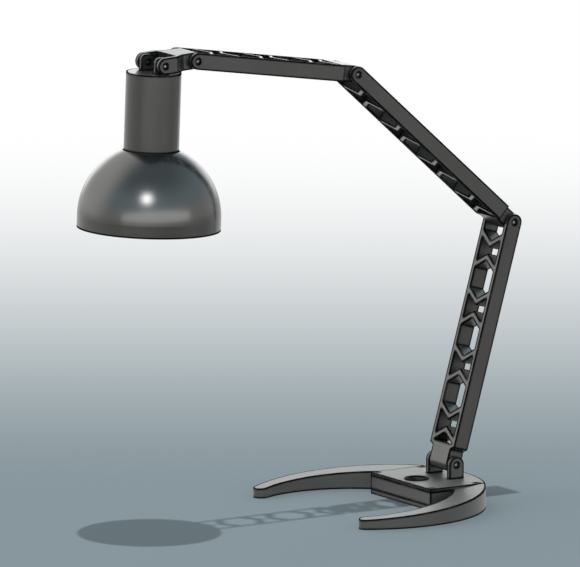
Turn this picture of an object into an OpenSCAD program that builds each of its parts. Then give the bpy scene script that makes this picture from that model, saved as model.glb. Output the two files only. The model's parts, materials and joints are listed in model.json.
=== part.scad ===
// Desk lamp with three latticed links, a horseshoe base and a domed shade.
// Millimetres. X = Y = Z = 0 lies on the table under the base hinge.
// Every hinge axis runs along Y, and the arm reaches towards -X.

/* [Arm links] */
// Width of a link across its two side plates
link_w = 40; // [34:1:60]
// Depth of a link, front to back
link_depth = 15; // [12:0.5:24]
// Thickness of a side plate
side_t = 5; // [3:0.5:6]
// Thickness of a chevron web
web_t = 5.5; // [3:0.5:7]
// Slope of the chevron webs, in degrees
web_angle = 30; // [20:1:35]
// Gap between the points of two facing chevrons
point_gap = 5.4; // [2:0.2:10]
// Straight side of a six-sided window
window_side = 18.25; // [10:0.25:30]
// Solid root of a link, from its pivot to the first window
root_l = 17.6; // [16.6:0.2:24]
// From the last chevron to the fork's pivot
fork_reach = 12.9; // [11.4:0.1:18]
// Number of lattice cells in the lower link
lower_cells = 4; // [3:1:6]
// Number of lattice cells in the middle link
middle_cells = 4; // [3:1:6]
// Number of lattice cells in the upper link
upper_cells = 3; // [2:1:5]

/* [Hinges] */
// Diameter of a hinge pin
pin_d = 5; // [4:0.5:6]
// Radial clearance of a pin in the tongue it turns in
pin_clear = 0.05; // [0.02:0.01:0.1]
// Radial interference of a pin in the ears that hold it
pin_grip = 0.01; // [0:0.005:0.02]
// Depth of a pin's end below the face of the ear
pin_recess = 1.5; // [0.5:0.25:2.5]
// Gap between a tongue and each ear
side_gap = 0.5; // [0.3:0.1:1]
// Thickness of a friction washer
washer_t = 0.4; // [0.2:0.05:0.45]
// Outer diameter of a friction washer
washer_d = 13; // [10:0.5:14]
// Length of the tongue before it widens
tongue_l = 12.6; // [11:0.2:14]
// Length of the chamfer where the tongue widens to the link
tongue_chamfer = 2.4; // [1:0.2:3]

/* [Pose at rest] */
// Slope of the lower link above the table, in degrees
base_angle = 74.04; // [45:0.01:100]
// Bend at the lower elbow, in degrees
lower_fold = 64.02; // [10:0.01:90]
// Bend at the upper elbow, in degrees
upper_fold = 32.73; // [0:0.01:60]
// Bend between the upper link and the yoke, in degrees
yoke_fold = 11.45; // [0:0.01:40]
// Angle between the yoke and the neck, in degrees
head_angle = 85.47; // [60:0.01:88]
// Tilt of the rocker at rest, in degrees
rocker_tilt = 10; // [4:1:12]

/* [Base] */
// Height of the base at its back
base_h = 20; // [18:0.5:30]
// Height of a prong at its tip
tip_h = 9; // [6:0.5:16]
// Radius of the base's outer wall
outer_r = 111; // [95:1:125]
// Back of the base, measured from the hinge
back_x = 23; // [21:0.5:30]
// Width of the horseshoe at its back
back_w = 31; // [29:0.5:36]
// Width towards which the prongs grow narrower
front_w = 8; // [6:0.5:12]
// Radius of a prong's round tip
tip_r = 7; // [5.5:0.5:8.5]
// Width of the box that holds the switch and the wiring
box_w = 100; // [90:1:110]
// Front of the box, measured from the hinge
box_front = 47.9; // [44:0.1:60]
// Back of the cover under the box, measured from the hinge
box_back = 8.4; // [6:0.1:12]
// Wall of the box
box_wall = 3; // [2:0.25:4]
// Thickness of the lid
lid_t = 3; // [2:0.25:4]
// Height of the cover's rim
cover_h = 4.6; // [3.6:0.1:5.5]
// Floor of the cover inside its rim
cover_floor = 2; // [1.5:0.25:3]
// Height of the base hinge above the lid
hinge_rise = 12.6; // [10.5:0.1:20]

/* [Screws] */
// Thread diameter of the lid and cover screws
screw_d = 3; // [2.5:0.5:4]
// Head diameter of the lid and cover screws
screw_head_d = 6; // [5:0.5:7]
// Length of a lid screw, head included
lid_screw_l = 8; // [6:0.5:9]
// Length of a cover screw, head included
cover_screw_l = 8; // [6:0.5:9]
// Distance of a screw from the box's two outer faces
screw_inset = 4; // [3.5:0.25:6]

/* [Switch] */
// Distance of the switch in front of the base hinge
switch_x = 30.9; // [26:0.1:34]
// Outer diameter of the switch's bezel
bezel_d = 22.4; // [20:0.2:26]
// Height of the bezel above the lid
bezel_h = 1.2; // [0.8:0.1:2]
// Diameter of the switch's barrel below the lid
barrel_d = 20; // [18:0.2:22]
// Depth of the barrel below the top of the lid
barrel_l = 9.5; // [8:0.25:11]
// Diameter of the rocker
rocker_d = 16.8; // [14:0.2:18]
// Gap round the rocker
rocker_gap = 0.2; // [0.1:0.05:0.4]
// Depth of the rocker's axle below the top of the lid
axle_drop = 1.4; // [1:0.1:2]
// Diameter of the rocker's axle
axle_d = 1.6; // [1.2:0.1:2]

/* [Power inlet] */
// Width of the inlet
inlet_w = 19; // [18:0.5:24]
// Height of the inlet's seat above the table
inlet_z = 5; // [4.8:0.1:6]
// Distance between the inlet's two pins
contact_pitch = 8.6; // [8:0.1:9.5]
// Diameter of the inlet's pins
contact_d = 2.4; // [2:0.1:2.8]

/* [Yoke] */
// Length of the yoke between its two pivots
yoke_l = 34.7; // [32:0.1:45]
// Length of the yoke's tongue before it widens
yoke_tongue_l = 13.1; // [12.6:0.1:15]
// Front face of the yoke's crossbar, from its first pivot
yoke_bar = 21.8; // [20:0.1:24]

/* [Neck and lamp holder] */
// Outer diameter of the neck
neck_d = 50; // [48:1:60]
// Wall of the neck
neck_wall = 2; // [1.5:0.25:3]
// Length of the neck
neck_l = 70.8; // [66:0.2:90]
// Thickness of the neck's closed top
neck_top_t = 3; // [2:0.25:5]
// Drop from the head's hinge to the top of the neck
neck_drop = 7.7; // [7.6:0.1:10]
// Thickness of a lug on the neck
lug_t = 4.8; // [4:0.2:6]
// Width of a lug
lug_w = 14; // [12:0.5:15]
// Radius of a lug's two top corners
lug_corner = 4.5; // [2:0.25:6]
// Diameter of the lamp holder
holder_d = 39.8; // [36:0.2:42]
// Length of the lamp holder
holder_l = 60; // [56:0.5:64]
// Wall of the lamp holder
holder_wall = 2.2; // [1.5:0.1:2.5]
// Outer diameter of the threaded tube between neck and holder
nipple_d = 10; // [8:0.5:12]
// Inner diameter of the holder's screw shell
screw_shell_d = 27.2; // [27:0.1:28]

/* [Shade and bulb] */
// Outer diameter of the shade
shade_d = 130; // [120:1:150]
// Straight skirt at the shade's rim
skirt_l = 11.3; // [5:0.1:20]
// Wall of the shade
shade_t = 1.4; // [1:0.1:2]
// Outer diameter of the ring that clamps the shade
ring_d = 49; // [46:0.5:50]
// Height of the clamping ring
ring_h = 3.6; // [3:0.1:5]
// Diameter of the bulb's globe
globe_d = 45; // [40:1:50]
// Overall length of the bulb
bulb_l = 78; // [74:1:82]
// Length of the bulb's screw cap
bulb_cap_l = 25.5; // [24:0.5:27]

/* [Hidden] */
$fn = 96;

// Overrun of every cut
over = 1;

// Colours
satin = [0.30, 0.30, 0.30];
steel = [0.62, 0.62, 0.62];
black = [0.07, 0.07, 0.07];
nylon = [0.85, 0.84, 0.80];
brass = [0.76, 0.62, 0.30];

// Links and hinges
end_r = link_depth / 2;
pin_r = pin_d / 2;
fork_half = link_w / 2 - side_t;
tongue_half = fork_half - side_gap;
web_rise = fork_half * tan(web_angle);
web_v = web_t / cos(web_angle);
cell_l = 2 * (web_v + web_rise) + point_gap;
pitch = cell_l + window_side;
function lattice_end(cells) = root_l + cells * pitch - window_side;
function link_l(cells) = lattice_end(cells) + fork_reach;

// Base
lid_top = base_h;
lid_bottom = base_h - lid_t;
hinge_z = lid_top + hinge_rise;
box_half = box_w / 2;
outer_x = outer_r - back_x;
inner_r = outer_r - (back_w + front_w) / 2;
inner_x = outer_x + (back_w - front_w) / 2;
lid_corner_x = sqrt(pow(outer_r, 2) - pow(box_half, 2)) - outer_x;
// The centre of a prong's tip lies tip_r inside the outer wall and tip_r outside the inner one
tip_out = outer_r - tip_r;
tip_in = inner_r + tip_r;
tip_x = (pow(tip_in, 2) - pow(tip_out, 2) - pow(inner_x, 2) + pow(outer_x, 2))
    / (2 * (inner_x - outer_x));
tip_y = sqrt(pow(tip_out, 2) - pow(tip_x + outer_x, 2));
screw_xs = [screw_inset - box_front, box_back - screw_inset];
screw_y = box_half - screw_inset;
boss_r = screw_inset;
seat_gap = 0.1;

// Screws
screw_r = screw_d / 2;
screw_head_r = screw_head_d / 2;
screw_head_h = screw_head_r - screw_r;
screw_sink = 0.2;
screw_clear = 0.15;
thread_bite = 0.05;
hex_r = 1.15;
hex_depth = 1.2;

// Switch
barrel_r = barrel_d / 2;
barrel_gap = 0.05;
barrel_floor = 1.5;
bezel_edge = 0.5;
well_r = rocker_d / 2 + rocker_gap;
axle_z = lid_top - axle_drop;
axle_clear = 0.05;
axle_bite = 0.8;
rocker_top = 2.9;
rocker_dip = 1.3;
rocker_base = 3;
rocker_base_half = 5;
blade_w = 4.8;
blade_t = 0.8;
blade_l = 5;
blade_pitch = 7;

// Power inlet
inlet_top = lid_bottom;
inlet_h = inlet_top - inlet_z;
inlet_mid_z = (inlet_top + inlet_z) / 2;
inlet_inset = 1;
inlet_face_x = back_x - inlet_inset;
inlet_flange_w = 24;
inlet_flange_t = 2;
inlet_back_x = box_back - box_wall - inlet_flange_t;
inlet_l = inlet_face_x - inlet_back_x;
socket_r = 4.2;
socket_waist = 7;
socket_depth = 12.5;
contact_l = 9;
contact_tail = 4;

// Terminal block, on the floor of the cover
block_l = 12;
block_w = 20;
block_h = 9;
block_gap = 7;
block_x = inlet_back_x - contact_tail - block_gap - block_l / 2;
block_y = box_half - box_wall - block_gap - block_w / 2;
block_pitch = 9;
wire_d = 3.2;
clamp_d = 4;
clamp_h = 2.4;
slot_w = 0.8;

// Neck, in the head's own frame: its hinge is at the origin and the shade hangs towards -Z
neck_r = neck_d / 2;
neck_top_z = -neck_drop;
neck_end_z = neck_top_z - neck_l;
neck_inner_r = neck_r - neck_wall;
neck_ceiling_z = neck_top_z - neck_top_t;
lug_inset = 0.5;
lug_rise = end_r - lug_inset;
lug_outer = tongue_half;
lug_inner = lug_outer - lug_t;
stem_r = 8;
stem_l = 11.3;
stem_z = neck_ceiling_z - stem_l;
nipple_r = nipple_d / 2;
nipple_bore_r = 3.2;
nipple_end_gap = 2;
nipple_in = stem_l - nipple_end_gap;

// Lamp holder
holder_r = holder_d / 2;
holder_gap = 2;
holder_top_z = stem_z - holder_gap;
holder_end_z = holder_top_z - holder_l;
holder_top_r = 14;
holder_taper_l = 10;
holder_cap_l = 22;
holder_split_z = holder_top_z - holder_cap_l;
nipple_out = 8;
screw_shell_t = 0.6;
screw_shell_r = screw_shell_d / 2 + screw_shell_t;
insert_t = 4;
insert_drop = 6;
insert_z = holder_split_z - insert_drop;
contact_plate_r = 4;
contact_plate_t = 0.6;

// Shade
shade_r = shade_d / 2;
dome_drop = sqrt(pow(shade_r, 2) - pow(neck_r, 2));
dome_z = neck_end_z - dome_drop;
rim_z = dome_z - skirt_l;
shade_clear = 0.4;
shade_hole_r = holder_r + shade_clear;
ring_z = neck_end_z - shade_t;
ring_notches = 12;
ring_notch_r = 1.5;

// Bulb
bulb_cap_r = 13;
bulb_top_z = insert_z - insert_t - contact_plate_t;
bulb_tip_l = 2.5;
bulb_tip_r = 4.5;
globe_r = globe_d / 2;
globe_t = 1;
globe_z = bulb_top_z - bulb_l + globe_r;
collar_top_z = bulb_top_z - bulb_cap_l;
collar_r = 19;
collar_lap = 2.5;
collar_z = globe_z + sqrt(pow(globe_r, 2) - pow(collar_r, 2));

// A cylinder along Y, centred on the origin
module y_rod(r, l) {
    rotate([90, 0, 0]) cylinder(r = r, h = l, center = true);
}

// A flat outline drawn in X and Z, made thick along Y
module y_slab(l) {
    rotate([90, 0, 0]) linear_extrude(height = l, center = true) children();
}

// Both ears of a fork, drawn in X and Z
module ears(inner, outer) {
    for (side = [-1, 1])
        translate([0, side * (inner + outer) / 2, 0]) y_slab(outer - inner) children();
}

// Frames of the moving parts
module at_lower() {
    translate([0, 0, hinge_z]) rotate([0, -base_angle, 0]) children();
}
module at_middle() {
    at_lower() translate([link_l(lower_cells), 0, 0]) rotate([0, -lower_fold, 0]) children();
}
module at_upper() {
    at_middle() translate([link_l(middle_cells), 0, 0]) rotate([0, -upper_fold, 0]) children();
}
module at_yoke() {
    at_upper() translate([link_l(upper_cells), 0, 0]) rotate([0, -yoke_fold, 0]) children();
}
module at_head() {
    at_yoke() translate([yoke_l, 0, 0]) rotate([0, -90 - head_angle, 0]) children();
}
module at_switch() {
    translate([-switch_x, 0, 0]) children();
}
module at_screws() {
    for (x = screw_xs, side = [-1, 1]) translate([x, side * screw_y, 0]) children();
}

// Side view of a bar that is round at both pivots
module bar_side(l) {
    circle(r = end_r);
    translate([0, -end_r]) square([l, link_depth]);
    translate([l, 0]) circle(r = end_r);
}

// Window between two chevron edges: each edge leaves the side plates at one place and meets
// its own point on the centre line at that place plus its rise
module window(low, low_rise, high, high_rise) {
    polygon([
        [low, -fork_half], [low + low_rise, 0], [low, fork_half],
        [high, fork_half], [high + high_rise, 0], [high, -fork_half]
    ]);
}

// Windows of the lattice and the gap of the fork, seen from the front
module link_windows(cells) {
    polygon([[root_l, -fork_half], [root_l, fork_half], [root_l + web_rise, 0]]);
    for (k = [0 : cells - 1]) {
        start = root_l + k * pitch;
        window(start + web_v, web_rise, start + cell_l - web_v, -web_rise);
        if (k < cells - 1) window(start + cell_l, -web_rise, start + pitch, web_rise);
    }
    window(lattice_end(cells), -web_rise, link_l(cells) + 2 * end_r, 0);
}

// Front view of a bar whose tongue widens to the full width
module bar_front(l, tongue, wide) {
    polygon([
        [-end_r, -tongue_half], [tongue, -tongue_half], [wide, -link_w / 2],
        [l + end_r, -link_w / 2], [l + end_r, link_w / 2],
        [wide, link_w / 2], [tongue, tongue_half], [-end_r, tongue_half]
    ]);
}

// Bores of a bar: the first turns on its pin, the last holds one
module bar_bores(l) {
    y_rod(pin_r + pin_clear, link_w + over);
    translate([l, 0, 0]) y_rod(pin_r - pin_grip, link_w + over);
}

module link(cells) {
    l = link_l(cells);
    difference() {
        intersection() {
            y_slab(link_w) bar_side(l);
            linear_extrude(height = link_depth, center = true) difference() {
                bar_front(l, tongue_l, tongue_l + tongue_chamfer);
                link_windows(cells);
            }
        }
        bar_bores(l);
    }
}

// Hinge pin across a whole fork, with chamfered ends
module fork_pin() {
    pin_l = link_w - 2 * pin_recess;
    chamfer = pin_r / 6;
    color(steel) {
        y_rod(pin_r, pin_l - 2 * chamfer);
        for (side = [-1, 1])
            rotate([side * 90, 0, 0]) translate([0, 0, pin_l / 2 - chamfer])
                cylinder(r1 = pin_r, r2 = pin_r - chamfer, h = chamfer);
    }
}

// Two friction washers, each against the inner face of an ear
module fork_washers() {
    color(nylon) ears(fork_half - washer_t, fork_half) difference() {
        circle(d = washer_d);
        circle(r = pin_r + pin_clear);
    }
}

// Countersunk screw with a hexagon socket, its head's top at the origin and its tip at -Z
module countersunk(l) {
    difference() {
        union() {
            translate([0, 0, -screw_head_h])
                cylinder(r1 = screw_r, r2 = screw_head_r, h = screw_head_h);
            translate([0, 0, -l]) cylinder(r = screw_r, h = l);
        }
        translate([0, 0, -hex_depth]) cylinder(r = hex_r, h = hex_depth + over, $fn = 6);
    }
}

// Cut for a countersunk screw that passes freely through a plate
module countersink(plate_t) {
    wide = screw_head_r + screw_clear;
    narrow = screw_r + screw_clear;
    translate([0, 0, -screw_sink]) cylinder(r = wide, h = screw_sink + over);
    translate([0, 0, -screw_sink - screw_head_h]) cylinder(r1 = narrow, r2 = wide, h = screw_head_h);
    translate([0, 0, -plate_t - over]) cylinder(r = narrow, h = plate_t + over);
}

// Horseshoe seen from above: two round walls and two round tips
module horseshoe() {
    outward = [tip_x + outer_x, tip_y] / tip_out;
    inward = [tip_x + inner_x, tip_y] / tip_in;
    reach = 2 * tip_r;
    outer_end = [tip_x, tip_y] + outward * reach;
    inner_end = [tip_x, tip_y] - inward * reach;
    far = outer_x + outer_r + over;
    difference() {
        translate([-outer_x, 0]) circle(r = outer_r);
        translate([-inner_x, 0]) circle(r = inner_r);
        polygon([
            inner_end, [tip_x, tip_y], outer_end, [-far, outer_r],
            [-far, -outer_r], [outer_end[0], -outer_end[1]], [tip_x, -tip_y],
            [inner_end[0], -inner_end[1]]
        ]);
    }
    for (side = [-1, 1]) translate([tip_x, side * tip_y]) circle(r = tip_r);
}

// Side view of the horseshoe: level at the back, then sloping down to the tips
module horseshoe_side() {
    front = tip_x - tip_r;
    polygon([
        [front, 0], [back_x, 0], [back_x, base_h], [lid_corner_x, base_h], [front, tip_h]
    ]);
}

// Outline of the lid: straight at the front and sides, and round with the base at the back
module lid_outline() {
    intersection() {
        translate([-box_front, -box_half]) square([box_front + back_x, box_w]);
        translate([-outer_x, 0]) circle(r = outer_r);
    }
}

// Outline of the space in the box, with its four screw bosses left standing
module cavity_outline() {
    difference() {
        translate([box_wall - box_front, box_wall - box_half])
            square([box_front + box_back - 2 * box_wall, box_w - 2 * box_wall]);
        at_screws() circle(r = boss_r);
    }
}

module inlet_slot() {
    gap = seat_gap;
    translate([0, -inlet_w / 2 - gap, inlet_z - gap])
        cube([back_x + over, inlet_w + 2 * gap, inlet_h + gap + over]);
}

module base_shell() {
    color(satin) difference() {
        union() {
            intersection() {
                linear_extrude(height = base_h) horseshoe();
                y_slab(2 * outer_r) horseshoe_side();
            }
            translate([-box_front, -box_half, 0])
                cube([box_front + box_back, box_w, lid_bottom]);
        }
        translate([0, 0, lid_bottom]) linear_extrude(height = lid_t + over) lid_outline();
        translate([-box_front - over, -box_half - seat_gap, -over])
            cube([box_front + box_back + over, box_w + 2 * seat_gap, cover_h + over]);
        linear_extrude(height = base_h) cavity_outline();
        at_screws() translate([0, 0, lid_top - lid_screw_l])
            cylinder(r = screw_r - thread_bite, h = lid_screw_l);
        at_screws() cylinder(r = screw_r - thread_bite, h = cover_screw_l);
        inlet_slot();
    }
}

module bottom_cover() {
    color(satin) difference() {
        translate([-box_front, -box_half, 0])
            cube([box_front + box_back - seat_gap, box_w, cover_h]);
        translate([0, 0, cover_floor]) linear_extrude(height = cover_h) cavity_outline();
        at_screws() rotate([180, 0, 0]) countersink(cover_h);
    }
}

module cover_screws() {
    color(steel) at_screws() translate([0, 0, screw_sink])
        rotate([180, 0, 0]) countersunk(cover_screw_l - screw_sink);
}

module base_lid() {
    color(satin) difference() {
        union() {
            translate([0, 0, lid_bottom]) linear_extrude(height = lid_t) lid_outline();
            ears(fork_half, link_w / 2) {
                translate([0, hinge_z]) circle(r = end_r);
                translate([-end_r, lid_bottom]) square([link_depth, hinge_z - lid_bottom]);
            }
        }
        translate([0, 0, hinge_z]) y_rod(pin_r - pin_grip, link_w + over);
        at_screws() translate([0, 0, lid_top]) countersink(lid_t);
        at_switch() cylinder(r = barrel_r + barrel_gap, h = hinge_z);
    }
}

module lid_screws() {
    color(steel) at_screws() translate([0, 0, lid_top - screw_sink])
        countersunk(lid_screw_l - screw_sink);
}

module switch_housing() {
    well_z = lid_top - barrel_l + barrel_floor;
    color(black) at_switch() difference() {
        union() {
            translate([0, 0, lid_top]) cylinder(d = bezel_d, h = bezel_h - bezel_edge);
            translate([0, 0, lid_top + bezel_h - bezel_edge])
                cylinder(d1 = bezel_d, d2 = bezel_d - 2 * bezel_edge, h = bezel_edge);
            translate([0, 0, lid_top - barrel_l]) cylinder(r = barrel_r, h = barrel_l);
        }
        translate([0, 0, well_z]) cylinder(r = well_r, h = barrel_l + bezel_h);
        translate([0, 0, axle_z])
            y_rod(axle_d / 2 + axle_clear, 2 * (well_r + axle_bite + axle_clear));
    }
}

module switch_rocker() {
    half = rocker_d / 2;
    color(black) translate([-switch_x, 0, axle_z]) rotate([0, rocker_tilt, 0]) {
        intersection() {
            sphere(r = half);
            y_slab(rocker_d + over) polygon([
                [-half, rocker_top], [0, rocker_top - rocker_dip], [half, rocker_top],
                [half, 0], [rocker_base_half, -rocker_base],
                [-rocker_base_half, -rocker_base], [-half, 0]
            ]);
        }
        y_rod(axle_d / 2, 2 * (well_r + axle_bite));
    }
}

module switch_terminals() {
    color(brass) at_switch() for (side = [-1, 1])
        translate([side * blade_pitch / 2, 0, lid_top - barrel_l - blade_l])
            translate([-blade_t / 2, -blade_w / 2, 0]) cube([blade_t, blade_w, blade_l]);
}

// Recess of the inlet: two round ends and a waist between them
module socket_outline() {
    half = contact_pitch / 2;
    for (side = [-1, 1]) translate([side * half, 0]) circle(r = socket_r);
    square([contact_pitch, socket_waist], center = true);
}

// A profile in Y and Z that starts at the origin and is made thick along +X
module x_slab(l) {
    rotate([90, 0, 90]) linear_extrude(height = l) children();
}

module power_inlet() {
    color(black) difference() {
        union() {
            translate([inlet_back_x, -inlet_w / 2, inlet_z]) cube([inlet_l, inlet_w, inlet_h]);
            translate([inlet_back_x, -inlet_flange_w / 2, inlet_z])
                cube([inlet_flange_t, inlet_flange_w, inlet_h]);
        }
        translate([inlet_face_x - socket_depth, 0, inlet_mid_z])
            x_slab(socket_depth + over) socket_outline();
        for (side = [-1, 1]) translate([inlet_back_x - over, side * contact_pitch / 2, inlet_mid_z])
            x_slab(inlet_l) circle(d = contact_d);
    }
}

module inlet_pins() {
    start = inlet_back_x - contact_tail;
    finish = inlet_face_x - socket_depth + contact_l;
    color(steel) for (side = [-1, 1]) translate([start, side * contact_pitch / 2, inlet_mid_z])
        x_slab(finish - start) circle(d = contact_d);
}

// Places of the two ways of the terminal block, on its top
module at_ways() {
    for (side = [-1, 1])
        translate([block_x, block_y + side * block_pitch / 2, cover_floor + block_h]) children();
}

module terminal_block() {
    color(nylon) difference() {
        translate([block_x - block_l / 2, block_y - block_w / 2, cover_floor])
            cube([block_l, block_w, block_h]);
        at_ways() translate([-block_l / 2 - over, 0, -block_h / 2])
            x_slab(block_l + 2 * over) circle(d = wire_d);
        at_ways() translate([0, 0, -clamp_h]) cylinder(d = clamp_d, h = clamp_h + over);
    }
}

module terminal_clamps() {
    color(brass) at_ways() difference() {
        translate([0, 0, -clamp_h]) cylinder(d = clamp_d, h = clamp_h - slot_w);
        translate([-clamp_d, -slot_w / 2, -2 * slot_w]) cube([2 * clamp_d, slot_w, 2 * slot_w]);
    }
}

module base_hinge_pin() {
    at_lower() fork_pin();
}

module base_hinge_washers() {
    at_lower() fork_washers();
}

module lower_arm() {
    color(satin) at_lower() link(lower_cells);
}

module lower_elbow_pin() {
    at_middle() fork_pin();
}

module lower_elbow_washers() {
    at_middle() fork_washers();
}

module middle_arm() {
    color(satin) at_middle() link(middle_cells);
}

module upper_elbow_pin() {
    at_upper() fork_pin();
}

module upper_elbow_washers() {
    at_upper() fork_washers();
}

module upper_arm() {
    color(satin) at_upper() link(upper_cells);
}

module yoke_hinge_pin() {
    at_yoke() fork_pin();
}

module yoke_hinge_washers() {
    at_yoke() fork_washers();
}

module yoke() {
    color(satin) at_yoke() difference() {
        intersection() {
            y_slab(link_w) bar_side(yoke_l);
            linear_extrude(height = link_depth, center = true) difference() {
                bar_front(yoke_l, yoke_tongue_l, yoke_bar);
                window(yoke_bar, 0, yoke_l + 2 * end_r, 0);
            }
        }
        bar_bores(yoke_l);
    }
}

// Two short pins: each is held by one arm of the yoke and carries one lug
module head_hinge_pins() {
    color(steel) at_head() ears(lug_inner + pin_recess, link_w / 2 - pin_recess)
        circle(r = pin_r);
}

module head_hinge_washers() {
    at_head() fork_washers();
}

// Side view of a lug: upright from the neck, with two rounded top corners
module lug_side() {
    half = lug_w / 2;
    flat = half - lug_corner;
    translate([-half, neck_ceiling_z])
        square([lug_w, lug_rise - lug_corner - neck_ceiling_z]);
    translate([-flat, neck_ceiling_z]) square([2 * flat, lug_rise - neck_ceiling_z]);
    for (side = [-1, 1]) translate([side * flat, lug_rise - lug_corner])
        circle(r = lug_corner);
}

module neck_housing() {
    color(satin) at_head() difference() {
        union() {
            difference() {
                translate([0, 0, neck_end_z]) cylinder(r = neck_r, h = neck_l);
                translate([0, 0, neck_end_z - over])
                    cylinder(r = neck_inner_r, h = neck_ceiling_z - neck_end_z + over);
            }
            translate([0, 0, stem_z]) cylinder(r = stem_r, h = stem_l);
            ears(lug_inner, lug_outer) lug_side();
        }
        y_rod(pin_r + pin_clear, link_w);
        translate([0, 0, stem_z - over])
            cylinder(r = nipple_r - thread_bite, h = nipple_in + over);
    }
}

// Threaded tube that hangs the lamp holder under the neck's closed top
module holder_nipple() {
    top = stem_z + nipple_in;
    bottom = holder_top_z - nipple_out;
    color(steel) at_head() translate([0, 0, bottom]) difference() {
        cylinder(r = nipple_r, h = top - bottom);
        translate([0, 0, -over]) cylinder(r = nipple_bore_r, h = top - bottom + 2 * over);
    }
}

// Outline of the holder's cap, from its axis outwards, pulled in by inset
module holder_cap_outline(inset) {
    polygon([
        [0, holder_split_z], [holder_r - inset, holder_split_z],
        [holder_r - inset, holder_top_z - holder_taper_l], [holder_top_r - inset, holder_top_z - inset],
        [0, holder_top_z - inset]
    ]);
}

module holder_cap() {
    collar_l = nipple_out;
    color(black) at_head() difference() {
        union() {
            difference() {
                rotate_extrude() holder_cap_outline(0);
                rotate_extrude() holder_cap_outline(holder_wall);
            }
            translate([0, 0, holder_top_z - collar_l])
                cylinder(r = nipple_r + holder_wall, h = collar_l - holder_wall);
        }
        translate([0, 0, holder_top_z - collar_l - over])
            cylinder(r = nipple_r - thread_bite, h = collar_l + 2 * over);
    }
}

module holder_skirt() {
    l = holder_split_z - holder_end_z;
    color(black) at_head() translate([0, 0, holder_end_z]) difference() {
        cylinder(r = holder_r, h = l);
        translate([0, 0, -over]) cylinder(r = holder_r - holder_wall, h = l + 2 * over);
    }
}

// Disc inside the holder that carries the screw shell and the centre contact
module holder_insert() {
    color(nylon) at_head() translate([0, 0, insert_z - insert_t]) {
        cylinder(r = holder_r - holder_wall, h = insert_t);
        translate([0, 0, -insert_t]) difference() {
            cylinder(r = holder_r - holder_wall, h = insert_t);
            translate([0, 0, -over]) cylinder(r = screw_shell_r, h = insert_t + 2 * over);
        }
    }
}

module holder_screw_shell() {
    l = insert_z - insert_t - holder_end_z - holder_wall;
    color(brass) at_head() translate([0, 0, holder_end_z + holder_wall]) difference() {
        cylinder(r = screw_shell_r, h = l);
        translate([0, 0, -over]) cylinder(d = screw_shell_d, h = l + 2 * over);
    }
}

module holder_contact() {
    color(brass) at_head() translate([0, 0, insert_z - insert_t - contact_plate_t])
        cylinder(r = contact_plate_r, h = contact_plate_t);
}

module shade() {
    color(satin) at_head() difference() {
        intersection() {
            union() {
                translate([0, 0, dome_z]) sphere(r = shade_r);
                translate([0, 0, rim_z]) cylinder(r = shade_r, h = skirt_l);
            }
            translate([0, 0, rim_z]) cylinder(r = shade_r + over, h = neck_end_z - rim_z);
        }
        intersection() {
            union() {
                translate([0, 0, dome_z]) sphere(r = shade_r - shade_t);
                translate([0, 0, rim_z - over]) cylinder(r = shade_r - shade_t, h = skirt_l + over);
            }
            translate([0, 0, rim_z - over])
                cylinder(r = shade_r, h = neck_end_z - shade_t - rim_z + over);
        }
        translate([0, 0, neck_end_z - shade_t - over])
            cylinder(r = shade_hole_r, h = shade_t + 2 * over);
    }
}

// Ring on the holder's thread, with finger notches, that clamps the shade to the neck
module shade_ring() {
    color(black) at_head() translate([0, 0, ring_z - ring_h]) difference() {
        cylinder(d = ring_d, h = ring_h);
        translate([0, 0, -over]) cylinder(r = holder_r, h = ring_h + 2 * over);
        for (k = [0 : ring_notches - 1]) rotate([0, 0, k * 360 / ring_notches])
            translate([ring_d / 2, 0, -over]) cylinder(r = ring_notch_r, h = ring_h + 2 * over, $fn = 32);
    }
}

module bulb_cap() {
    color(steel) at_head() {
        translate([0, 0, collar_top_z])
            cylinder(r = bulb_cap_r, h = bulb_cap_l - bulb_tip_l);
        translate([0, 0, bulb_top_z - bulb_tip_l])
            cylinder(r1 = bulb_cap_r, r2 = bulb_tip_r, h = bulb_tip_l);
    }
}

module bulb_collar() {
    color(nylon) at_head() difference() {
        union() {
            translate([0, 0, collar_z + collar_lap])
                cylinder(r1 = collar_r, r2 = bulb_cap_r, h = collar_top_z - collar_z - collar_lap);
            translate([0, 0, collar_z]) cylinder(r = collar_r, h = collar_lap);
        }
        translate([0, 0, globe_z]) sphere(r = globe_r);
    }
}

module bulb_globe() {
    color(nylon) at_head() difference() {
        translate([0, 0, globe_z]) sphere(r = globe_r);
        translate([0, 0, globe_z]) sphere(r = globe_r - globe_t);
        translate([0, 0, collar_z + collar_lap]) cylinder(r = globe_r, h = globe_r);
    }
}

base_shell();
bottom_cover();
cover_screws();
base_lid();
lid_screws();
switch_housing();
switch_rocker();
switch_terminals();
power_inlet();
inlet_pins();
terminal_block();
terminal_clamps();
base_hinge_pin();
base_hinge_washers();
lower_arm();
lower_elbow_pin();
lower_elbow_washers();
middle_arm();
upper_elbow_pin();
upper_elbow_washers();
upper_arm();
yoke_hinge_pin();
yoke_hinge_washers();
yoke();
head_hinge_pins();
head_hinge_washers();
neck_housing();
holder_nipple();
holder_cap();
holder_skirt();
holder_insert();
holder_screw_shell();
holder_contact();
shade();
shade_ring();
bulb_cap();
bulb_collar();
bulb_globe();
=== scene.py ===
"""Looks of a desk lamp with latticed links, a horseshoe base and a domed shade.

Metres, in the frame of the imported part: +Z up from the table, every hinge of the arm along Y,
and the arm reaching towards -X.
"""

import json
import math

import bpy
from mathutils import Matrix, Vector

MM = 0.001

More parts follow.
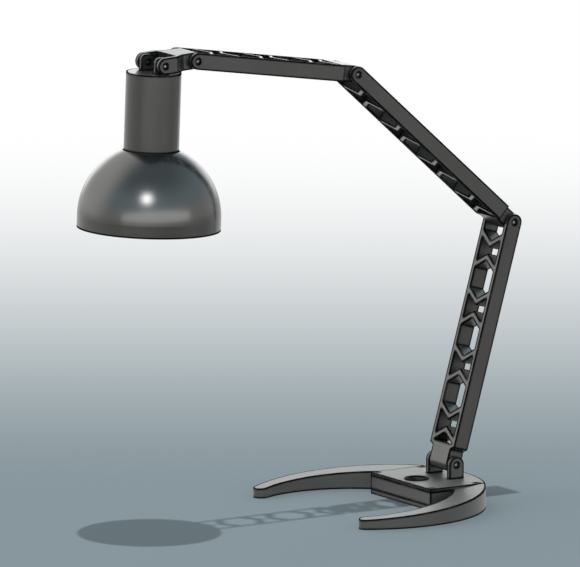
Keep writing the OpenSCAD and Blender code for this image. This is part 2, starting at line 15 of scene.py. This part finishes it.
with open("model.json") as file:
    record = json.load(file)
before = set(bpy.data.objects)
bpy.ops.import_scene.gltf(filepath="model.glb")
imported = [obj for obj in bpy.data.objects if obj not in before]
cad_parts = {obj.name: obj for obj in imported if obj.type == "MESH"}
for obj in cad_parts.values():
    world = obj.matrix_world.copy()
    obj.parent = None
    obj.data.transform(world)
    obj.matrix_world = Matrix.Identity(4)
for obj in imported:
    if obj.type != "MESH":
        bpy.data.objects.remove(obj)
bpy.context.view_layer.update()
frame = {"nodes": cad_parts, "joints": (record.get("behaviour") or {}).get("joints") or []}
nodes = frame["nodes"]
pivots = {joint["name"]: Vector(joint["pos_m"]) for joint in frame["joints"]}

# The camera's view, found from the corners of the links
VIEW_AZIMUTH = -32.56
VIEW_ELEVATION = 10.31
VIEW_TARGET = Vector((-167.31, 0, 213.83)) * MM
VIEW_WIDTH = 524.4 * MM
LENS = 1200
SENSOR = 36

# Stage
FLOOR_RADIUS = 6
FLOOR_SIDES = 64
FLOOR_DROP = 0.02 * MM
FLOOR_COLOUR = (0.182, 0.219, 0.236, 1)
WHITE = (1, 1, 1, 1)
FADE_END = 2.0

# Studio that the metal shows
GROUND_AHEAD = (0.11, 0.11, 0.107, 1)
GROUND_ASIDE = (0.40, 0.40, 0.395, 1)
HORIZON = (0.76, 0.75, 0.72, 1)
MIDDLE = (0.58, 0.72, 0.77, 1)
ZENITH = (0.33, 0.395, 0.425, 1)
LEFT_GLOW = (1.45, 1.45, 1.40, 1)
LEFT_GLOW_PLACE = (VIEW_AZIMUTH - 130, 22)
KEY_GLOW = (14.3, 14.3, 14.3, 1)
KEY_PLACE = (VIEW_AZIMUTH - 3.8, VIEW_ELEVATION + 26.7)
KEY_REACH = 0.94
KEY_FALLOFF = 7.0

# Lights: panels in watts, the sun in watts per square metre, lengths in metres, angles in degrees
SUN_STRENGTH = 1.9
SUN_ANGLE = 1.0
SUN_HEIGHT = 2.5
FRONT_STRENGTH = 36.0
FRONT_SIZE = (9.0, 1.08)
FRONT_TURN = 12.7
FRONT_DISTANCE = 3.0
FRONT_RISE = 0.42
BACK_STRENGTH = 12.0
BACK_SIZE = (3.0, 1.0)
BACK_ELEVATION = 13
BACK_DISTANCE = 2.4

# Dark lines along the edges. A line starts where the rounded normal's cosine to the true one
# falls to EDGE_START, and is full at EDGE_FULL
EDGE_ROUNDING = 0.3 * MM
EDGE_LINE = 3.4 * MM
PIN_LINE = 3.0 * MM
EDGE_START = 0.995
EDGE_FULL = 0.986
EDGE_COLOUR = (0.006, 0.006, 0.006, 1)
RIM_LINE = 1.5 * MM
RIM_SOFTNESS = 0.3 * MM
NECK_LINE = 0.25 * MM
NECK_SOFTNESS = 0.2 * MM

# How dark the narrow faces of a link's side plates are, and how softly that ends
DARK_RAILS = {"middle_arm": 0.85, "upper_arm": 0.85}
RAIL_SOFTNESS = 0.6 * MM
FACE_SOFTNESS = 0.1 * MM

# Colours, dark and light
COAT = ((0.100, 0.100, 0.097, 1), (0.135, 0.135, 0.131, 1))
SHADE_COAT = ((0.124, 0.126, 0.124, 1), (0.149, 0.151, 0.149, 1))
ENAMEL = ((0.80, 0.80, 0.78, 1), (0.86, 0.86, 0.84, 1))
STEEL = ((0.42, 0.42, 0.41, 1), (0.58, 0.58, 0.57, 1))
BLACK = ((0.012, 0.012, 0.013, 1), (0.024, 0.024, 0.025, 1))
DEEP_BLACK = (EDGE_COLOUR, BLACK[0])
CREAM = ((0.70, 0.69, 0.65, 1), (0.78, 0.77, 0.73, 1))
BRASS = ((0.52, 0.37, 0.14, 1), (0.74, 0.56, 0.26, 1))
BULB_METAL = ((0.62, 0.62, 0.61, 1), (0.80, 0.80, 0.79, 1))
OPAL = ((0.86, 0.85, 0.81, 1), (0.92, 0.91, 0.87, 1))

# Shade: its reflection at grazing angles against full, and how softly its outside turns to inside
GRAZE = (0.8, 0.8, 0.8, 1)
WALL_SOFTNESS = 0.15 * MM

# Sizes that the part's source states too
SHADE_RADIUS = 65 * MM
SHADE_WALL = 1.4 * MM
SHADE_SKIRT = 11.3 * MM
NECK_RADIUS = 25 * MM
LINK_WIDTH = 40 * MM
LINK_DEPTH = 15 * MM
SIDE_PLATE = 5 * MM


def direction(azimuth, elevation):
    """Unit vector from the object towards a viewer at that azimuth and elevation, in degrees."""
    a, e = math.radians(azimuth), math.radians(elevation)
    return Vector((math.sin(a) * math.cos(e), -math.cos(a) * math.cos(e), math.sin(e)))


def make_camera():
    data = bpy.data.cameras.new("camera")
    data.sensor_width = SENSOR
    data.lens = LENS
    distance = LENS / SENSOR * VIEW_WIDTH
    data.clip_start = distance / 10
    data.clip_end = distance * 3
    camera = bpy.data.objects.new("camera", data)
    back = direction(VIEW_AZIMUTH, VIEW_ELEVATION)
    camera.location = VIEW_TARGET + back * distance
    camera.rotation_euler = (-back).to_track_quat("-Z", "Y").to_euler()
    bpy.context.scene.collection.objects.link(camera)
    bpy.context.scene.camera = camera


class Tree:
    """A node tree with short calls for adding nodes, where an input is a value or a socket."""

    def __init__(self, owner):
        owner.use_nodes = True
        self.tree = owner.node_tree
        self.tree.nodes.clear()

    def add(self, kind, inputs=None, output=0, **settings):
        """Adds a node, sets its settings and inputs, and returns the output socket asked for."""
        node = self.tree.nodes.new("ShaderNode" + kind)
        for name, value in settings.items():
            setattr(node, name, value)
        for key, value in (inputs or {}).items():
            self.put(node.inputs[key], value)
        return node.outputs[output] if node.outputs else node

    def put(self, socket, value):
        if isinstance(value, bpy.types.NodeSocket):
            self.tree.links.new(value, socket)
        else:
            socket.default_value = value

    def math(self, operation, a, b=0.0):
        return self.add("Math", {0: a, 1: b}, operation=operation)

    def span(self, value, low, high, to_low=0.0, to_high=1.0, smooth=False):
        """Maps a value from one span to another, held at its ends."""
        kind = "SMOOTHSTEP" if smooth else "LINEAR"
        inputs = {
            "Value": value,
            "From Min": low, "From Max": high,
            "To Min": to_low, "To Max": to_high,
        }
        return self.add("MapRange", inputs, interpolation_type=kind)

    def mix(self, factor, a, b):
        return self.add("Mix", {0: factor, 6: a, 7: b}, output=2, data_type="RGBA")

    def blend(self, factor, a, b):
        """Mixes two plain numbers."""
        return self.add("Mix", {0: factor, 2: a, 3: b}, output=0, data_type="FLOAT")

    def noise(self, vector, scale, detail=3.0, roughness=0.5):
        inputs = {"Vector": vector, "Scale": scale, "Detail": detail, "Roughness": roughness}
        return self.add("TexNoise", inputs, output="Fac")

    def local(self, origin, turn):
        """Coordinates in a frame at origin that is turned about Y by turn, in radians."""
        place = self.add("TexCoord", output="Object")
        inputs = {"Vector": place, "Location": origin, "Rotation": (0, turn, 0)}
        return self.add("Mapping", inputs, vector_type="TEXTURE")

    def likeness(self, a, b):
        """Cosine of the angle between two directions."""
        return self.add("VectorMath", {0: a, 1: b}, operation="DOT_PRODUCT", output="Value")

    def stretched(self, vector, scale):
        return self.add("VectorMath", {0: vector, 1: scale}, operation="MULTIPLY")

    def rounded(self, radius, samples=4):
        """A normal that rounds sharp edges by radius."""
        return self.add("Bevel", {"Radius": radius}, samples=samples)

    def edges(self, radius):
        """A mask that is 1 along sharp edges and gone at radius from them."""
        true = self.add("NewGeometry", output="Normal")
        return self.span(self.likeness(self.rounded(radius, 8), true), EDGE_START, EDGE_FULL)

    def bump(self, height, distance, strength, normal=None):
        inputs = {"Height": height, "Distance": distance, "Strength": strength}
        if normal is not None:
            inputs["Normal"] = normal
        return self.add("Bump", inputs)

    def coat(self, black, colour, metal, rough, normal, graze=WHITE):
        """A coat that turns matt black where the mask is 1. graze tints metal's grazing angles."""
        return self.add("BsdfPrincipled", {
            "Base Color": self.mix(black, colour, EDGE_COLOUR),
            "Metallic": self.blend(black, metal, 0.0),
            "Roughness": self.blend(black, rough, 0.85),
            "Specular IOR Level": self.blend(black, 0.5, 0.0),
            "Specular Tint": graze,
            "Normal": normal,
        })

    def finish(self, shader, target="OutputMaterial"):
        self.tree.links.new(shader, self.add(target).inputs["Surface"])


def new_material(name):
    material = bpy.data.materials.new(name)
    return material, Tree(material)


def make_floor():
    """A pale floor that keeps the shadow and fades to white behind the lamp. The metal looks
    through it at the studio."""
    mesh = bpy.data.meshes.new("floor")
    turns = [2 * math.pi * k / FLOOR_SIDES for k in range(FLOOR_SIDES)]
    ring = [(FLOOR_RADIUS * math.cos(a), FLOOR_RADIUS * math.sin(a), 0) for a in turns]
    mesh.from_pydata(ring, [], [list(range(FLOOR_SIDES))])
    floor = bpy.data.objects.new("floor", mesh)
    floor.location = (0, 0, -FLOOR_DROP)
    floor.rotation_euler = (0, 0, math.radians(VIEW_AZIMUTH))
    bpy.context.scene.collection.objects.link(floor)
    material, t = new_material("floor")
    place = t.add("TexCoord", output="Object")
    behind = t.add("SeparateXYZ", {"Vector": place}, output="Y")
    matt = t.add("BsdfDiffuse", {"Color": FLOOR_COLOUR})
    white = t.add("Emission", {"Color": WHITE, "Strength": 1.0})
    seen = t.add("MixShader", {0: t.span(behind, 0, FADE_END, smooth=True), 1: matt, 2: white})
    glossy = t.add("LightPath", output="Is Glossy Ray")
    below = t.add("NewGeometry", output="Backfacing")
    clear = t.add("BsdfTransparent")
    t.finish(t.add("MixShader", {0: t.math("MAXIMUM", glossy, below), 1: seen, 2: clear}))
    mesh.materials.append(material)


def make_world():
    """A plain studio: grey below, white behind, a soft glow on the left and bluish overhead.
    The metal also shows a small round glow over the camera."""
    world = bpy.data.worlds.new("studio")
    world.cycles.sampling_method = "NONE"
    bpy.context.scene.world = world
    t = Tree(world)
    towards = t.add("TexCoord", output="Generated")
    height = t.add("SeparateXYZ", {"Vector": towards}, output="Z")
    behind = t.likeness(towards, direction(VIEW_AZIMUTH + 180, 0))
    left = t.likeness(towards, direction(*LEFT_GLOW_PLACE))
    ground = t.mix(t.span(behind, -0.9, -0.3), GROUND_AHEAD, GROUND_ASIDE)
    ground = t.mix(t.span(behind, 0.2, 0.95, smooth=True), ground, WHITE)
    horizon = t.mix(t.span(behind, 0.1, 0.6), HORIZON, WHITE)
    sky = t.mix(t.span(height, 0.10, 0.45), horizon, MIDDLE)
    sky = t.mix(t.span(height, 0.50, 0.88), sky, ZENITH)
    sky = t.mix(t.span(left, 0.47, 0.95, smooth=True), sky, LEFT_GLOW)
    colour = t.mix(t.span(height, -0.16, 0.0), ground, sky)
    key = t.likeness(towards, direction(*KEY_PLACE))
    key = t.math("POWER", t.span(key, KEY_REACH, 1.0), KEY_FALLOFF)
    key = t.math("MULTIPLY", key, t.add("LightPath", output="Is Glossy Ray"))
    colour = t.mix(key, colour, KEY_GLOW)
    t.finish(t.add("Background", {"Color": colour, "Strength": 1.0}), "OutputWorld")


def add_light(name, kind, place, aim, energy, glossy=True, **settings):
    data = bpy.data.lights.new(name, kind)
    data.energy = energy
    for key, value in settings.items():
        setattr(data, key, value)
    lamp = bpy.data.objects.new(name, data)
    lamp.location = place
    lamp.rotation_euler = (aim - place).to_track_quat("-Z", "Y").to_euler()
    lamp.visible_camera = False
    lamp.visible_glossy = glossy
    bpy.context.scene.collection.objects.link(lamp)


def add_panel(name, place, aim, energy, size):
    width, height = size
    add_light(name, "AREA", place, aim, energy, shape="RECTANGLE", size=width, size_y=height)


def make_lights():
    """Light from above and soft panels in front and behind."""
    above = VIEW_TARGET + Vector((0, 0, SUN_HEIGHT))
    spread = math.radians(SUN_ANGLE)
    add_light("overhead", "SUN", above, VIEW_TARGET, SUN_STRENGTH, glossy=False, angle=spread)
    head = dome_centre()
    front = head + direction(VIEW_AZIMUTH + FRONT_TURN, 0) * FRONT_DISTANCE
    front += Vector((0, 0, FRONT_RISE))
    add_panel("front", front, Vector((head.x, head.y, front.z)), FRONT_STRENGTH, FRONT_SIZE)
    back = VIEW_TARGET + direction(VIEW_AZIMUTH + 180, BACK_ELEVATION) * BACK_DISTANCE
    add_panel("back", back, VIEW_TARGET, BACK_STRENGTH, BACK_SIZE)


def middle(node):
    """Middle of a node's vertices, which for a round piece lies on its axis."""
    vertices = nodes[node].data.vertices
    return sum((v.co for v in vertices), Vector()) / len(vertices)


HEAD = pivots["head_tilt"]
HEAD_DOWN = (middle("shade_ring") - HEAD).normalized()
HEAD_TURN = math.asin(-HEAD_DOWN.x)


def head_depth(point):
    """How far a point lies below the head's hinge, along the head's axis."""
    return (point - HEAD).dot(HEAD_DOWN)


def depth_span(node):
    depths = [head_depth(v.co) for v in nodes[node].data.vertices]
    return min(depths), max(depths)


NECK_END = depth_span("neck_housing")[1]
DOME_RISE = math.sqrt(SHADE_RADIUS**2 - NECK_RADIUS**2)


def dome_centre():
    return HEAD + HEAD_DOWN * (NECK_END + DOME_RISE)


def rails(t, place):
    """A mask for the narrow front and back faces of a link's side plates."""
    parts = t.add("SeparateXYZ", {"Vector": place})
    across = t.math("ABSOLUTE", parts.node.outputs["Y"])
    through = t.math("ABSOLUTE", parts.node.outputs["Z"])
    inner = LINK_WIDTH / 2 - SIDE_PLATE
    face = LINK_DEPTH / 2 - FACE_SOFTNESS
    plates = t.span(across, inner - RAIL_SOFTNESS, inner)
    faces = t.span(through, face - FACE_SOFTNESS, face)
    return t.math("MULTIPLY", plates, faces)


def satin_material(name, origin, turn, roughness=0.31, grain=0.0, metal=0.85, dark_rails=0.0):
    """Satin dark grey coat, brushed finely along the piece's own X and black along its edges."""
    material, t = new_material(name)
    place = t.local(origin, turn)
    cloud = t.noise(place, 22.0, 4.0)
    lines = t.noise(t.stretched(place, (26.0, 900.0, 900.0)), 1.0, 2.0)
    fine = t.noise(place, 2600.0, 2.0)
    uneven = t.span(t.noise(place, 70.0, 4.0), 0.30, 0.50, 0.85, 1.0)
    black = t.math("MULTIPLY", t.edges(EDGE_LINE), uneven)
    if dark_rails:
        black = t.math("MAXIMUM", black, t.math("MULTIPLY", rails(t, place), dark_rails))
    colour = t.mix(cloud, *COAT)
    rough = t.span(lines, 0.3, 0.7, roughness - 0.03, roughness + 0.03)
    brushed = t.math("MULTIPLY", lines, 1.0 - grain)
    height = t.math("ADD", brushed, t.math("MULTIPLY", fine, 0.4 + grain))
    normal = t.bump(height, 0.01 * MM, 0.25, t.rounded(EDGE_ROUNDING))
    t.finish(t.coat(black, colour, metal, rough, normal))
    return material


def shade_material():
    """Spun metal: semi-gloss dark steel-blue outside, white enamel inside."""
    material, t = new_material("shade_metal")
    centre = dome_centre()
    place = t.local(centre, HEAD_TURN)
    parts = t.add("SeparateXYZ", {"Vector": place})
    x, y, z = parts.node.outputs
    above = t.math("MAXIMUM", z, 0.0)
    flat = t.add("CombineXYZ", {"X": x, "Y": y, "Z": above})
    distance = t.add("VectorMath", {0: flat}, operation="LENGTH", output="Value")
    middle_wall = SHADE_RADIUS - SHADE_WALL / 2
    outside = t.span(distance, middle_wall - WALL_SOFTNESS, middle_wall + WALL_SOFTNESS)
    cloud = t.noise(place, 16.0, 4.0)
    spin = t.noise(t.add("CombineXYZ", {"X": z, "Y": distance}), 1500.0, 2.0)
    rim = t.span(z, RIM_LINE - SHADE_SKIRT, RIM_LINE + RIM_SOFTNESS - SHADE_SKIRT, 1.0, 0.0)
    neck_line = DOME_RISE - NECK_LINE
    black = t.math("MAXIMUM", rim, t.span(z, neck_line - NECK_SOFTNESS, neck_line))
    coat = t.mix(cloud, *SHADE_COAT)
    enamel = t.mix(cloud, *ENAMEL)
    rough = t.blend(outside, 0.32, t.span(spin, 0.3, 0.7, 0.21, 0.24))
    normal = t.bump(spin, 0.001 * MM, 0.10, t.rounded(EDGE_ROUNDING))
    black = t.math("MULTIPLY", black, outside)
    t.finish(t.coat(black, t.mix(outside, enamel, coat), outside, rough, normal, GRAZE))
    return material


def turned_steel(name):
    """Bare steel with fine turning marks, black round its ends."""
    material, t = new_material(name)
    place = t.add("TexCoord", output="Object")
    marks = t.noise(t.stretched(place, (700.0, 3000.0, 700.0)), 1.0, 2.0)
    colour = t.mix(marks, *STEEL)
    rough = t.span(marks, 0.3, 0.7, 0.24, 0.38)
    normal = t.bump(marks, 0.01 * MM, 0.3, t.rounded(0.2 * MM))
    t.finish(t.coat(t.edges(PIN_LINE), colour, 1.0, rough, normal))
    return material


def moulded_plastic(name, colours, roughness, grain_scale=2200.0, depth=0.02, specular=0.5):
    """Moulded plastic or another matt coat with an even fine grain."""
    material, t = new_material(name)
    place = t.add("TexCoord", output="Object")
    grain = t.noise(place, grain_scale, 2.0)
    cloud = t.noise(place, 40.0, 3.0)
    rough = t.span(grain, 0.3, 0.7, roughness - 0.05, roughness + 0.05)
    normal = t.bump(grain, depth * MM, 0.4, t.rounded(0.2 * MM))
    t.finish(t.add("BsdfPrincipled", {
        "Base Color": t.mix(cloud, *colours), "Roughness": rough, "Normal": normal,
        "Specular IOR Level": specular,
    }))
    return material


def plated_metal(name, colours, roughness):
    """Sheet or plated metal with faint tarnish."""
    material, t = new_material(name)
    place = t.add("TexCoord", output="Object")
    tarnish = t.noise(place, 120.0, 5.0)
    rough = t.span(tarnish, 0.3, 0.7, roughness - 0.06, roughness + 0.10)
    normal = t.bump(t.noise(place, 900.0, 2.0), 0.01 * MM, 0.2, t.rounded(0.15 * MM))
    t.finish(t.add("BsdfPrincipled", {
        "Base Color": t.mix(tarnish, *colours), "Metallic": 1.0,
        "Roughness": rough, "Normal": normal,
    }))
    return material


def opal_glass():
    """Frosted opal glass of the bulb's globe."""
    material, t = new_material("opal_glass")
    place = t.add("TexCoord", output="Object")
    cloud = t.noise(place, 60.0, 3.0)
    t.finish(t.add("BsdfPrincipled", {
        "Base Color": t.mix(cloud, *OPAL),
        "Roughness": t.span(cloud, 0.3, 0.7, 0.26, 0.34),
        "Normal": t.bump(t.noise(place, 1500.0, 2.0), 0.01 * MM, 0.15),
        "Subsurface Weight": 0.3, "Subsurface Scale": 0.004,
    }))
    return material


def link_turn(start, end):
    """Turn about Y that takes +X to the direction from one pivot to the next."""
    along = end - start
    return -math.atan2(along.z, along.x)


def assign(material, *names):
    for name in names:
        slots = nodes[name].data.materials
        if len(slots) == 0:
            slots.append(material)
        for k in range(len(slots)):
            slots[k] = material


def finish_metal():
    base = Vector((0, 0, 0))
    cast = satin_material("cast_base", base, 0, 0.44, grain=0.3, metal=0.6)
    sheet = satin_material("coated_steel", base, 0, 0.48, grain=0.4, metal=0.6)
    assign(cast, "base_shell")
    assign(sheet, "base_lid", "bottom_cover")
    links = ["lower_arm", "middle_arm", "upper_arm", "yoke"]
    chain = ["base_hinge", "lower_elbow", "upper_elbow", "yoke_hinge", "head_tilt"]
    for node, start, end in zip(links, chain, chain[1:]):
        turn = link_turn(pivots[start], pivots[end])
        dark = DARK_RAILS.get(node, 0.0)
        assign(satin_material("satin_" + node, pivots[start], turn, dark_rails=dark), node)
    upright = HEAD_TURN + math.pi / 2
    assign(satin_material("satin_neck", HEAD, upright, 0.30, grain=0.4), "neck_housing")
    assign(shade_material(), "shade")


def finish_small_parts():
    assign(turned_steel("steel"), "inlet_pins", "base_hinge_pin", "lower_elbow_pin",
           "upper_elbow_pin", "yoke_hinge_pin", "head_hinge_pins", "holder_nipple")
    assign(moulded_plastic("black_plastic", BLACK, 0.52),
           "power_inlet", "holder_cap", "holder_skirt", "shade_ring")
    assign(moulded_plastic("switch_plastic", DEEP_BLACK, 0.80, specular=0.08),
           "switch_housing", "switch_rocker")
    assign(moulded_plastic("black_oxide", BLACK, 0.65, 1400.0, 0.01, specular=0.2),
           "cover_screws", "lid_screws")
    assign(moulded_plastic("white_plastic", CREAM, 0.45),
           "terminal_block", "base_hinge_washers", "lower_elbow_washers", "upper_elbow_washers",
           "yoke_hinge_washers", "head_hinge_washers", "holder_insert", "bulb_collar")
    assign(plated_metal("brass", BRASS, 0.28),
           "switch_terminals", "terminal_clamps", "holder_screw_shell", "holder_contact")
    assign(plated_metal("bulb_metal", BULB_METAL, 0.22), "bulb_cap")
    assign(opal_glass(), "bulb_globe")


bpy.context.scene.view_settings.view_transform = "Standard"
make_camera()
make_floor()
make_world()
make_lights()
finish_metal()
finish_small_parts()
